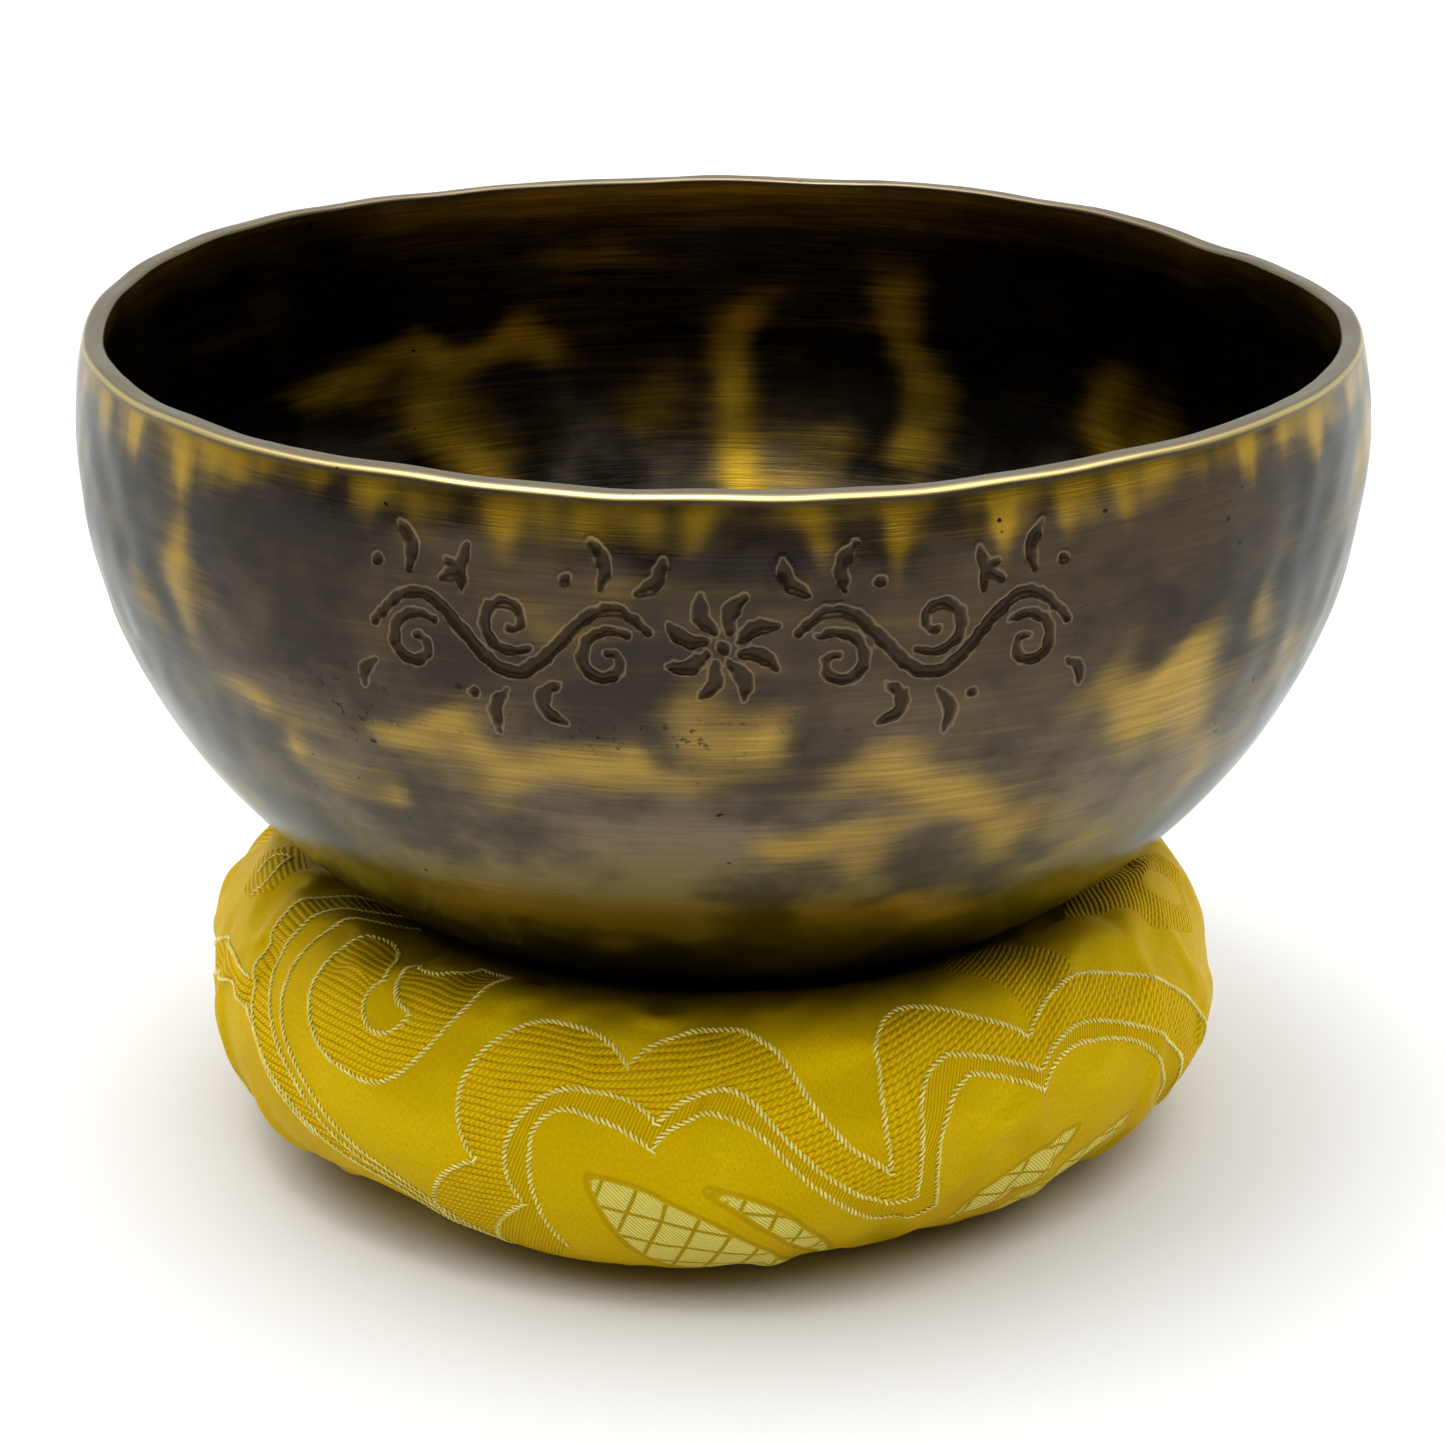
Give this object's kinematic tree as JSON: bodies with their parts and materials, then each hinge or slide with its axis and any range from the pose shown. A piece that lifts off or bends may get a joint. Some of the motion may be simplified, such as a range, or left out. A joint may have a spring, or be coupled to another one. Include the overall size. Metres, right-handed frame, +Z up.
{
  "type": "singing bowl",
  "caption": "Hand-hammered metal singing bowl with a thick rounded lip, standing in the dished top of a padded brocade ring cushion.",
  "frame": {"origin": "on the floor, at the middle of the cushion's underside, on the axis of the bowl and the cushion", "axes": "+Z up along that axis; -Y is the front, where the bowl's engraved band is; the pieces are turned about Z"},
  "size_m": [0.17, 0.17, 0.1134],
  "materials": {
    "bowl_metal": "hand-hammered bronze, dark brown patina with burnished golden patches, satin",
    "brocade": "yellow satin brocade with raised pale outlines and ribbed ochre figures",
    "fibre": "loose cotton and polyester fibre",
    "thread": "twisted sewing thread"
  },
  "bodies": {
    "cushion": {"brocade_cover": "brocade", "filling_ring": "fibre", "hem_stitches": "thread", "end_seam_stitches": "thread"},
    "bowl": {"bowl": "bowl_metal"}
  },
  "joints": [
    {"name": "bowl_lift", "type": "slide", "parent": "cushion", "child": "bowl", "axis": [0, 0, 1], "range_m": [0, 0.09]}
  ]
}
